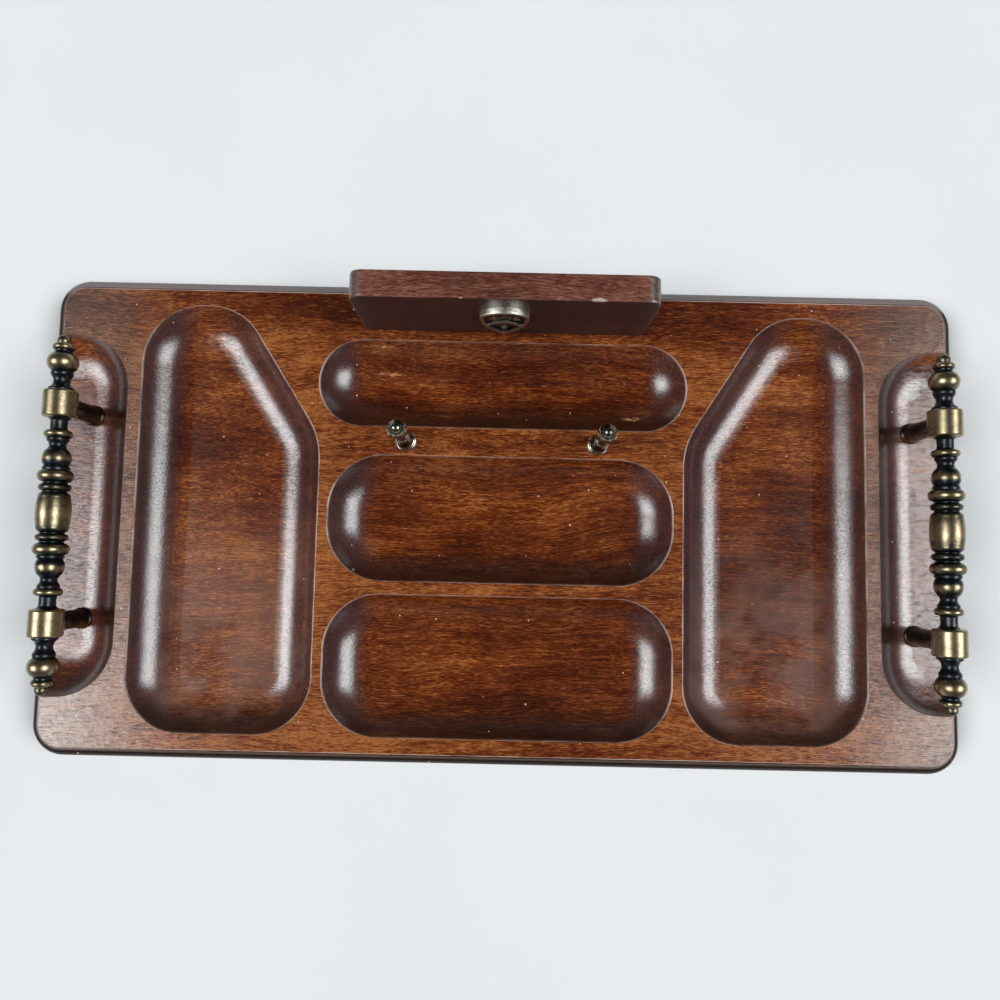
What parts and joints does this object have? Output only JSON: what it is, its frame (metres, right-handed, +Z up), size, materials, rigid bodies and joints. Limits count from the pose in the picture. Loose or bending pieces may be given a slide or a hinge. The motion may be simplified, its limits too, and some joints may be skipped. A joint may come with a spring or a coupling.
{
  "type": "valet tray",
  "caption": "Wooden valet tray with routed pockets, an upright back board that bears a plain shield, turned pegs in front of it and a turned brass handle at each end.",
  "frame": {"origin": "centre of the felt underside, on the surface that the tray stands on", "axes": "+X along the tray's length to the right of the user, +Y from the user towards the back board, +Z up"},
  "size_m": [0.424, 0.222, 0.0682],
  "materials": {
    "mahogany": "satin lacquer over a mahogany stain",
    "antique_brass": "antiqued, worn bright on the high spots",
    "pewter": "aged nickel, dark in its recesses",
    "felt": "pressed wool felt",
    "screw_steel": "zinc plated"
  },
  "bodies": {
    "root": {"tray_body": "mahogany", "felt_base": "felt", "back_board": "mahogany", "crest_shield": "pewter", "left_peg": "pewter", "right_peg": "pewter", "handle_screws": "screw_steel", "peg_screws": "screw_steel", "board_screws": "screw_steel", "left_handle_spindle": "antique_brass", "left_front_stanchion": "antique_brass", "left_front_finial": "antique_brass", "left_rear_stanchion": "antique_brass", "left_rear_finial": "antique_brass", "right_handle_spindle": "antique_brass", "right_front_stanchion": "antique_brass", "right_front_finial": "antique_brass", "right_rear_stanchion": "antique_brass", "right_rear_finial": "antique_brass"}
  },
  "joints": []
}
